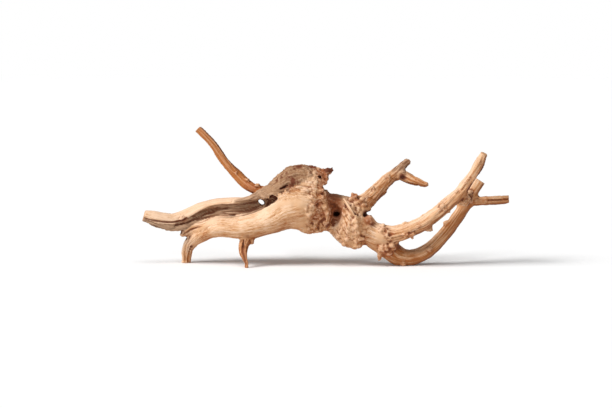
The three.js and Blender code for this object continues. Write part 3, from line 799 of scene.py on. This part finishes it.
class Tree:
    """A short way to write node trees: each call adds a node and links or sets its inputs."""

    def __init__(self, tree):
        self.tree = tree

    def add(self, kind, inputs=(), out=0, **settings):
        node = self.tree.nodes.new(kind)
        for name, value in settings.items():
            setattr(node, name, value)
        for key, value in dict(inputs).items():
            if isinstance(value, Wire):
                self.tree.links.new(value.socket, node.inputs[key])
            else:
                node.inputs[key].default_value = value
        return Wire(self, node.outputs[out]) if node.outputs else node

    def math(self, operation, *values, clamp=False):
        return self.add("ShaderNodeMath", enumerate(values), operation=operation, use_clamp=clamp)

    def larger(self, a, b):
        return self.math("MAXIMUM", a, b)

    def vector(self, operation, *values):
        return self.add("ShaderNodeVectorMath", enumerate(values), operation=operation)

    def scale(self, vector, factor):
        return self.add("ShaderNodeVectorMath", {0: vector, "Scale": factor}, operation="SCALE")

    def stretch(self, grain, along):
        """Coordinates that draw a pattern out along the grain."""
        return self.vector("MULTIPLY", grain, (along, 1.0, 1.0))

    def remap(self, value, low, high, to_low=0.0, to_high=1.0, smooth=True):
        return self.add("ShaderNodeMapRange", {0: value, 1: low, 2: high, 3: to_low, 4: to_high},
                        interpolation_type="SMOOTHSTEP" if smooth else "LINEAR")

    def noise(self, place, scale, detail=2.0, rough=0.5, bend=0.0, seed=None, out=0):
        inputs = {"Vector": place, "Scale": scale, "Detail": detail, "Roughness": rough, "Distortion": bend}
        if seed is None:
            return self.add("ShaderNodeTexNoise", inputs, out)
        return self.add("ShaderNodeTexNoise", {**inputs, "W": seed}, out, noise_dimensions="4D")

    def blend(self, factor, a, b):
        """A mix of two colours, each a wire or a plain colour."""
        a, b = (colour if isinstance(colour, Wire) else opaque(colour) for colour in (a, b))
        return self.add("ShaderNodeMix", {0: factor, 6: a, 7: b}, 2, data_type="RGBA")

    def stored(self, name, kind="FLOAT"):
        """An attribute of the mesh, in a geometry tree."""
        node = self.tree.nodes.new("GeometryNodeInputNamedAttribute")
        node.data_type = kind
        node.inputs["Name"].default_value = name
        return Wire(self, next(s for s in node.outputs if s.enabled and s.name == "Attribute"))

    def painted(self, name, out="Fac"):
        """An attribute of the mesh, in a material."""
        return self.add("ShaderNodeAttribute", out=out, attribute_name=name, attribute_type="GEOMETRY")


def opaque(colour):
    return (*colour, 1.0)


# Inputs of the relief tree: name, smallest and largest value, in metres.
RELIEF_SIZES = [("Furrow depth", 0, 0.01), ("Furrow width", 0.0005, 0.05), ("Bump height", 0, 0.01),
                ("Bump width", 0.0005, 0.05), ("Unevenness", 0, 0.01)]


def relief_inputs(group):
    """Gives the tree its named inputs and its output, and returns the inputs as wires by name."""
    group.interface.new_socket("Geometry", in_out="INPUT", socket_type="NodeSocketGeometry")
    for name, low, high in RELIEF_SIZES:
        size = group.interface.new_socket(name, in_out="INPUT", socket_type="NodeSocketFloat")
        size.subtype = "DISTANCE"
        size.min_value, size.max_value = low, high
    group.interface.new_socket("Seed", in_out="INPUT", socket_type="NodeSocketFloat")
    group.interface.new_socket("Material", in_out="INPUT", socket_type="NodeSocketMaterial")
    group.interface.new_socket("Geometry", in_out="OUTPUT", socket_type="NodeSocketGeometry")
    tree = Tree(group)
    outputs = group.nodes.new("NodeGroupInput").outputs
    return tree, {socket.name: Wire(tree, socket) for socket in outputs}


def furrows(t, given, grain):
    """Grooves drawn out along the grain."""
    waves = t.noise(t.stretch(grain, 0.09), 1.0 / given["Furrow width"], 3.0, 0.55, 0.3, given["Seed"])
    cut = t.remap(abs(waves - 0.5), 0.0, 0.13) - 1.0
    return cut * t.stored("furrow") * (1.0 - t.stored("seam")) * given["Furrow depth"]


def burl_bumps(t, given, place):
    """Round bumps of two sizes with curled creases between them."""
    seed, bumps = given["Seed"], 1.0 / given["Bump width"]
    warp = t.vector("SUBTRACT", t.noise(place, 120.0, seed=seed, out=1), (0.5, 0.5, 0.5))
    bent = t.vector("ADD", place, t.scale(warp, 0.005))
    large = t.add("ShaderNodeTexVoronoi", {"Vector": bent, "W": seed, "Scale": bumps, "Smoothness": 0.15},
                  voronoi_dimensions="4D", feature="SMOOTH_F1")
    small = t.add("ShaderNodeTexVoronoi", {"Vector": bent, "W": seed, "Scale": bumps * 1.7},
                  voronoi_dimensions="4D", feature="F1")
    domes = t.math("SQRT", 1.0 - t.remap(large, 0.0, 0.62, smooth=False))
    grit = t.math("SQRT", 1.0 - t.remap(small, 0.0, 0.6, smooth=False))
    curls = t.noise(bent, bumps * 1.1, bend=0.6, seed=seed)
    crease = t.remap(abs(curls - 0.5), 0.0, 0.1)
    return (domes * 0.6 + grit * 0.4 + crease * 0.35 - 0.8) * t.stored("burl") * given["Bump height"]


def relief_tree():
    """Works furrows, burl bumps, bark flakes and unevenness into the skin."""
    group = bpy.data.node_groups.new("Wood relief", "GeometryNodeTree")
    t, given = relief_inputs(group)
    place = t.add("GeometryNodeInputPosition")
    grain = t.stored("grain", "FLOAT_VECTOR")
    slow = t.noise(place, 55.0, seed=given["Seed"])
    lift = furrows(t, given, grain) + burl_bumps(t, given, place) + (slow - 0.5) * given["Unevenness"]
    flakes = t.noise(t.stretch(grain, 0.3), 170.0, 3.0, 0.6, seed=given["Seed"])
    lift = lift + t.remap(flakes, 0.35, 0.65, -0.0009, 0.0011) * t.stored("bark")
    height = t.add("ShaderNodeSeparateXYZ", {0: place}, 2)
    lift = lift * t.remap(height, 0.0004, 0.003) * (1.0 - t.stored("end") * 0.8)
    offset = t.scale(t.add("GeometryNodeInputNormal"), lift)
    moved = t.add("GeometryNodeSetPosition", {"Geometry": given["Geometry"], "Offset": offset})
    shaded = t.add("GeometryNodeSetShadeSmooth", {"Geometry": moved})
    real = t.add("GeometryNodeRealizeInstances", {"Geometry": shaded})
    done = t.add("GeometryNodeSetMaterial", {"Geometry": real, "Material": given["Material"]})
    t.add("NodeGroupOutput", {"Geometry": done})
    return group


def set_input(modifier, name, value):
    """Sets a tree's input by the identifier of its socket."""
    for item in modifier.node_group.interface.items_tree:
        if item.item_type == "SOCKET" and item.in_out == "INPUT" and item.name == name:
            modifier[item.identifier] = value
            return
    raise KeyError(name)


class WoodColour:
    """The colour of dry worn wood, built up in coats, from clean wood to painted shade in folds and hollows,
    and sawn ends.
    """

    # Of these, under and bleached carry painted shade and painted light from the way the skin faces, crease
    # and valley set painted shade in folds and painted highlights on ridges, and dark holds painted shade in
    # hollows, cracks and on shaded sides along with dark marks.
    MARKS = ("tint", "weather", "red", "burl", "dark", "under", "painted_light_and_bleach", "end", "bark", "crease", "valley")

    def __init__(self, t, looks):
        self.t, self.looks = t, looks
        self.mark = {name: t.painted(name) for name in self.MARKS}
        self.place = place = t.add("ShaderNodeTexCoord", out="Object")
        self.grain = grain = t.painted("grain", "Vector")
        self.calm = calm = 1.0 - t.painted("seam")
        self.streaks = (t.noise(t.stretch(grain, 0.035), 340.0, 4.0, 0.6) - 0.5) * calm
        self.fibres = (t.noise(t.stretch(grain, 0.03), 1300.0, 3.0, 0.65) - 0.5) * calm
        self.cloud = t.noise(place, 38.0, 4.0, 0.55)
        self.flecks = t.noise(place, 95.0, 3.0, 0.6)
        self.speck = t.noise(place, 520.0, 3.0, 0.6)

    def coats(self):
        """The finished colour."""
        base = self.clean()
        base = self.weathered(base)
        base = self.reddened(base)
        base = self.folded(base)
        base = self.hollowed(base)
        base = self.pored(base)
        return self.sawn(base)

    def clean(self):
        """Pale, tan and brown wood, with painted shade underneath and on the right, and painted light on top
        and on the left.
        """
        t, tone = self.t, self.mark["tint"]
        tint = tone + self.streaks * (tone * 1.5 + 1.5) + (self.cloud - 0.5) * 0.9 + self.fibres * 2.0
        tint = tint + self.mark["under"] * 0.4
        tint = t.math("SUBTRACT", tint, self.mark["painted_light_and_bleach"] * 0.35, clamp=True)
        light = t.blend(t.remap(tint, 0.0, 0.5, smooth=False), self.looks.pale, self.looks.tan)
        return t.blend(t.remap(tint, 0.5, 1.0, smooth=False), light, self.looks.brown)

    def weathered(self, base):
        """Grey-brown wood, and bark on the crest."""
        t, looks = self.t, self.looks
        self.weather = self.mark["weather"] + self.streaks * 0.5 + (self.speck - 0.5) * 0.25
        pale = t.blend(self.mark["bark"] * 0.7, looks.grey, looks.bark)
        grey = t.blend(t.remap(self.streaks * 2.2 + self.cloud, 0.3, 0.72), pale, looks.grey_dark)
        return t.blend(t.remap(self.weather, 0.25, 0.85), base, grey)

    def reddened(self, base):
        """Red in the burl's pits and in thin lines along the grain."""
        t = self.t
        lines = abs(t.noise(t.stretch(self.grain, 0.022), 420.0, bend=0.2) - 0.5)
        lines = (1.0 - t.remap(lines, 0.0, 0.03)) * (self.calm * t.remap(self.cloud, 0.35, 0.65, 0.3, 1.0))
        pits = t.add("ShaderNodeTexVoronoi", {"Vector": self.place, "Scale": 210.0, "Smoothness": 0.4},
                     feature="SMOOTH_F1")
        pitted = t.remap(pits, 0.25, 0.75) * self.mark["burl"]
        red = self.mark["red"] + pitted * 0.26 + lines * 0.7
        return t.blend(t.remap(red, 0.1, 1.0) * 0.9, base, self.looks.red)

    def folded(self, base):
        """Painted shade in creases, in valleys and on undersides and right sides, and painted highlights on
        ridges.
        """
        t, looks, crease, valley = self.t, self.looks, self.mark["crease"], self.mark["valley"]
        fold_shade = t.remap(crease, 0.02, 0.2, 0.0, 0.55) + t.remap(valley, 0.12, 1.1, 0.0, 0.45)
        # Painted shade on the undersides and on the sides facing right.
        shaded = self.mark["under"] * t.remap(self.cloud, 0.2, 0.8, 0.2, 0.42) * (1.0 - self.weather * 0.7)
        self.fold_shade = t.larger(fold_shade, shaded)
        shade_colour = t.blend(t.remap(self.weather, 0.25, 0.85), looks.crease, looks.grey_dark)
        depth = self.fold_shade * (0.72 - self.weather * 0.34)
        depth = t.math("MULTIPLY", depth, self.mark["burl"] * 0.3 + 1.0, clamp=True)
        base = t.blend(depth, base, shade_colour)
        # The pale on ridges and knobs is a painted highlight, strongest on the burl.
        worn = t.larger(t.remap(crease, -0.04, -0.3, 0.0, 0.18), t.remap(valley, -0.3, -1.6, 0.0, 0.18))
        return t.blend(worn * (self.mark["burl"] * 1.2 + 1.0), base, looks.pale)

    def hollowed(self, base):
        """Dark marks and painted shade in hollows, cracks and crotches and on sides away from the light, and
        dark blotches in the bark.
        """
        t, bark = self.t, self.mark["bark"]
        blotches = t.remap(bark * self.flecks, 0.5, 0.66, 0.0, 0.5)
        specks = t.remap(bark * self.speck, 0.52, 0.66, 0.0, 0.36)
        deep = t.larger(self.mark["dark"] * (self.streaks * 1.8 + 0.9), t.larger(blotches, specks))
        # The deepest painted shade of the folds darkens further.
        deep = t.larger(deep, t.remap(self.fold_shade, 0.8, 1.0, 0.0, 0.35))
        base = t.blend(t.remap(deep, 0.0, 0.55), base, self.looks.deep)
        return t.blend(t.remap(deep, 0.5, 1.0), base, self.looks.dark)

    def pored(self, base):
        """Short reddish pores along the grain."""
        t = self.t
        pores = t.add("ShaderNodeTexVoronoi", {"Vector": t.stretch(self.grain, 0.16), "Scale": 560.0})
        pores = t.remap(pores, 0.3, 0.12) * t.remap(self.cloud, 0.42, 0.6, 0.0, 0.5) * self.calm
        return t.blend(pores, base, self.looks.red)

    def sawn(self, base):
        """Rings on the sawn ends."""
        t = self.t
        bent = t.vector("ADD", t.stretch(self.grain, 0.0), t.scale(self.place, 0.05))
        rings = t.add("ShaderNodeTexWave", {"Vector": bent, "Scale": 260.0, "Distortion": 1.5}, 1,
                      wave_type="RINGS", rings_direction="X")
        ends = t.blend(rings * 0.6, self.looks.tan, self.looks.crease)
        return t.blend(self.mark["end"] * 0.85, base, ends)


def wood_material(looks):
    """Dry worn wood: streaked along the grain, grey in its furrows and reddish in its burl."""
    material = bpy.data.materials.new("Worn driftwood")
    material.use_nodes = True
    t = Tree(material.node_tree)
    t.tree.nodes.clear()
    colour = WoodColour(t, looks)
    base = colour.coats()
    rough = colour.speck * 0.2 + colour.weather * 0.12 + 0.58
    height = colour.fibres * 0.6 + colour.streaks * 0.5 + colour.speck * (colour.mark["burl"] * 0.5)
    bump = t.add("ShaderNodeBump", {"Height": height, "Strength": 0.55, "Distance": 0.0009})
    shader = t.add("ShaderNodeBsdfPrincipled", {"Base Color": base, "Roughness": rough, "Normal": bump,
                                                "Specular IOR Level": 0.28})
    t.add("ShaderNodeOutputMaterial", {"Surface": shader})
    return material


def stage_material(name, colour, roughness):
    """A plain, dull finish for the floor."""
    material = bpy.data.materials.new(name)
    material.use_nodes = True
    shader = material.node_tree.nodes["Principled BSDF"]
    shader.inputs["Base Color"].default_value = opaque(colour)
    shader.inputs["Roughness"].default_value = roughness
    shader.inputs["Specular IOR Level"].default_value = 0.1
    return material


# ---------------------------------------------------------------------------------------------
# Settings, operators and panel

def length(name, description, size, low, high):
    """A length whose default and limits are given in millimetres."""
    return FloatProperty(name=name, description=description, default=size * MM, min=low * MM,
                         max=high * MM, unit="LENGTH", precision=4)


def colour(name, description, default):
    return FloatVectorProperty(name=name, description=description, default=default, size=3,
                               min=0, max=1, subtype="COLOR")


def strength(name, description, default):
    return FloatProperty(name=name, description=description, default=default, min=0, max=10)


class DriftwoodShape(bpy.types.PropertyGroup):
    cell: length("Skin detail", "Spacing of the points on the skin", 1.18, 0.5, 5)
    furrow_depth: length("Furrow depth", "Depth of the furrows along the grain", 2.2, 0, 6)
    furrow_width: length("Furrow width", "Spacing of the furrows across the grain", 6.0, 1, 30)
    bump_height: length("Burl height", "Height of the bumps on the burl", 2.0, 0, 8)
    bump_width: length("Burl bump width", "Spacing of the bumps on the burl", 7.5, 2, 30)
    unevenness: length("Unevenness", "Slow swelling of the whole skin", 2.4, 0, 6)
    seed: IntProperty(name="Seed", description="Picks another pattern of furrows and bumps", default=4, min=0)


class DriftwoodLooks(bpy.types.PropertyGroup):
    # The pale wood also paints the highlights on ridges.
    pale: colour("Pale wood", "Rubbed edges and the upper strand", srgb(235, 199, 167))
    tan: colour("Tan wood", "The stem and most of the limbs", srgb(212, 164, 120))
    brown: colour("Brown wood", "The darkest clean limbs", srgb(170, 102, 46))
    grey: colour("Weathered wood", "Grey-brown wood in the channel", srgb(178, 142, 112))
    # The deep weathered wood is also the painted shade in weathered folds.
    grey_dark: colour("Deep weathered wood", "The dark lines of weathered wood", srgb(122, 86, 60))
    bark: colour("Bark", "Brown bark left on the crest", srgb(158, 114, 76))
    red: colour("Burl wood", "Reddish wood in the burl and round knots", srgb(156, 86, 46))
    # Creases, deep hollows and hollows are the colours of painted shade, from creases and shaded sides to the
    # darkest cracks; the crease colour also draws the rings on sawn ends.
    crease: colour("Creases", "Warm brown of the furrows and round the knobs", srgb(136, 72, 30))
    deep: colour("Deep hollows", "Red-brown of the deep hollows", srgb(104, 50, 26))
    dark: colour("Hollows", "Shadowed cracks and hollows", srgb(34, 18, 12))


class DriftwoodStage(bpy.types.PropertyGroup):
    floor: colour("Floor", "Colour of the floor", (0.95, 0.95, 0.95))
    ambient: strength("Ambient light", "Strength of the light from all round", 0.27)
    key: strength("Key light", "Strength of the soft light from the left", 2.85)
    fill: strength("Fill light", "Strength of the light from above", 0.8)
    lens: FloatProperty(name="Lens", description="Focal length of the camera, in millimetres",
                        default=85.0, min=20, max=300, unit="CAMERA")
    elevation: FloatProperty(name="Camera elevation", description="How far the camera looks down",
                             default=math.radians(6), subtype="ANGLE")


def in_frame(points):
    """Skin points, moved from the limbs' millimetres to the frame, and scaled to its length."""
    low, high = points.min(0), points.max(0)
    grow = LENGTH / ((high[0] - low[0]) * MM)
    shift = np.array([(low[0] + high[0]) / 2, (low[1] + high[1]) / 2, 0])
    return (points - shift) * MM * grow + np.array([MIDDLE[0], MIDDLE[1], LOW[2]])


def store(mesh, name, values):
    """Stores one number for each point of the mesh."""
    mesh.attributes.new(name, "FLOAT", "POINT").data.foreach_set("value", values.astype(np.float32))


# Folds marked on the skin, each with the rounds of smoothing that show how sunk a point is.
FOLD_ROUNDS = (("crease", 5), ("valley", 36))


def mark_folds(mesh):
    """Stores how sunk each point is, closely and widely, for the painted shade in creases and the painted
    highlights on ridges.
    """
    points = np.empty(len(mesh.vertices) * 3)
    mesh.vertices.foreach_get("co", points)
    corners = np.empty(len(mesh.loops), np.int64)
    mesh.loops.foreach_get("vertex_index", corners)
    for name, rounds in FOLD_ROUNDS:
        store(mesh, name, sunk(points.reshape(-1, 3), corners.reshape(-1, 4), rounds))


class DRIFTWOOD_OT_wood(bpy.types.Operator):
    """Grow the wood's skin round its limbs, wear it, give it relief and colour it"""
    bl_idname = "driftwood.wood"
    bl_label = "Grow wood"

    QUICK_COARSENING = 1.7

    def execute(self, context):
        shape, looks = context.scene.driftwood_shape, context.scene.driftwood_looks
        wood = bpy.data.objects.new("driftwood_wood", self.painted_skin(shape))
        context.scene.collection.objects.link(wood)
        self.give_relief(wood, shape, wood_material(looks))
        context.view_layer.update()
        solid = bpy.data.meshes.new_from_object(wood.evaluated_get(context.evaluated_depsgraph_get()))
        wood.modifiers.clear()
        wood.data = solid
        mark_folds(solid)
        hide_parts(NODE)
        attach(wood, BODY)
        return {"FINISHED"}

    def painted_skin(self, shape):
        field = wood_field(shape.cell / MM * (1.0))
        points, quads = field.skin()
        paint = WoodPaint(points, corner_normals(points, quads))
        paint.all_over()
        paint.paint_crevice_shade(field)
        paint.knobs(field.knobs)
        points[:, 2] = np.maximum(points[:, 2], 0)
        mesh = bpy.data.meshes.new("wood")
        mesh.from_pydata(in_frame(points).tolist(), [], quads.tolist())
        for name, values in paint.tones.items():
            store(mesh, name, values)
        lines = mesh.attributes.new("grain", "FLOAT_VECTOR", "POINT")
        lines.data.foreach_set("vector", (paint.grain * MM).astype(np.float32).ravel())
        return mesh

    def give_relief(self, wood, shape, material):
        relief = wood.modifiers.new("Relief", "NODES")
        relief.node_group = relief_tree()
        for name, _, _ in RELIEF_SIZES:
            set_input(relief, name, getattr(shape, name.lower().replace(" ", "_")))
        set_input(relief, "Seed", float(shape.seed))
        set_input(relief, "Material", material)


class DRIFTWOOD_OT_stage(bpy.types.Operator):
    """Lay the floor, hang the lights and place the camera"""
    bl_idname = "driftwood.stage"
    bl_label = "Set the stage"

    FLOOR_RADIUS, FLOOR_SIDES = 30 * LENGTH, 64
    KEY_SIDE, FILL_SIDE = Vector((-0.95, -0.55, 0.95)), Vector((0.15, -0.5, 1.0))
    SUN_WIDTH, SUN_DISTANCE = math.radians(26), 3 * LENGTH
    AIM = Vector(MIDDLE) + Vector((-0.053, -0.0271, -0.0176)) * LENGTH
    CAMERA_DISTANCE = 3.924 * LENGTH

    def execute(self, context):
        stage = context.scene.driftwood_stage
        self.floor(context, stage)
        self.world(context, stage)
        self.soft_sun(context, "key", self.KEY_SIDE, stage.key)
        self.soft_sun(context, "fill", self.FILL_SIDE, stage.fill)
        self.camera(context, stage)
        context.scene.view_settings.view_transform = "Standard"
        return {"FINISHED"}

    def floor(self, context, stage):
        turns = [2 * math.pi * i / self.FLOOR_SIDES for i in range(self.FLOOR_SIDES)]
        rim = [(self.FLOOR_RADIUS * math.cos(a), self.FLOOR_RADIUS * math.sin(a), LOW[2]) for a in turns]
        mesh = bpy.data.meshes.new("floor")
        mesh.from_pydata(rim, [], [list(range(self.FLOOR_SIDES))])
        mesh.materials.append(stage_material("Pale floor", stage.floor, 0.9))
        floor = bpy.data.objects.new("floor", mesh)
        context.scene.collection.objects.link(floor)

    def world(self, context, stage):
        """White round the piece, and a dimmer light from all round."""
        world = bpy.data.worlds.new("Studio")
        world.use_nodes = True
        t = Tree(world.node_tree)
        t.tree.nodes.clear()
        seen = t.add("ShaderNodeLightPath", out="Is Camera Ray")
        glow = t.remap(seen, 0.0, 1.0, stage.ambient, 1.0, smooth=False)
        light = t.add("ShaderNodeBackground", {"Color": (1, 1, 1, 1), "Strength": glow})
        t.add("ShaderNodeOutputWorld", {"Surface": light})
        context.scene.world = world

    def soft_sun(self, context, name, towards, energy):
        """A wide, soft light from one side, even over the whole floor."""
        lamp = bpy.data.lights.new(name, "SUN")
        lamp.energy = energy
        lamp.angle = self.SUN_WIDTH
        holder = bpy.data.objects.new(name, lamp)
        holder.location = Vector(MIDDLE) + towards * self.SUN_DISTANCE
        holder.rotation_euler = towards.to_track_quat("Z", "Y").to_euler()
        context.scene.collection.objects.link(holder)

    def camera(self, context, stage):
        lens = bpy.data.cameras.new("camera")
        lens.lens = stage.lens
        lens.sensor_width = 36.0
        lens.clip_end = 100
        camera = bpy.data.objects.new("camera", lens)
        back = Vector((0, -math.cos(stage.elevation), math.sin(stage.elevation)))
        camera.location = self.AIM + back * self.CAMERA_DISTANCE
        camera.rotation_euler = (-back).to_track_quat("-Z", "Y").to_euler()
        context.scene.collection.objects.link(camera)
        context.scene.camera = camera


class DRIFTWOOD_PT_panel(bpy.types.Panel):
    """The sizes, colours and lights of the driftwood, and the buttons that make it"""
    bl_idname = "DRIFTWOOD_PT_panel"
    bl_label = "Driftwood"
    bl_space_type = "VIEW_3D"
    bl_region_type = "UI"
    bl_category = "Driftwood"

    def draw(self, context):
        scene = context.scene
        for settings in (scene.driftwood_shape, scene.driftwood_looks, scene.driftwood_stage):
            box = self.layout.box()
            for name in settings.bl_rna.properties.keys():
                if name not in {"rna_type", "name"}:
                    box.prop(settings, name)
        self.layout.operator(DRIFTWOOD_OT_wood.bl_idname)
        self.layout.operator(DRIFTWOOD_OT_stage.bl_idname)


SETTINGS = {"driftwood_shape": DriftwoodShape, "driftwood_looks": DriftwoodLooks,
            "driftwood_stage": DriftwoodStage}
CLASSES = (*SETTINGS.values(), DRIFTWOOD_OT_wood, DRIFTWOOD_OT_stage, DRIFTWOOD_PT_panel)


def register():
    for item in CLASSES:
        bpy.utils.register_class(item)
    for name, group in SETTINGS.items():
        setattr(bpy.types.Scene, name, PointerProperty(type=group))


def unregister():
    for name in SETTINGS:
        delattr(bpy.types.Scene, name)
    for item in reversed(CLASSES):
        bpy.utils.unregister_class(item)


def main():
    register()
    bpy.ops.driftwood.wood()
    bpy.ops.driftwood.stage()


if __name__ == "__main__":
    main()
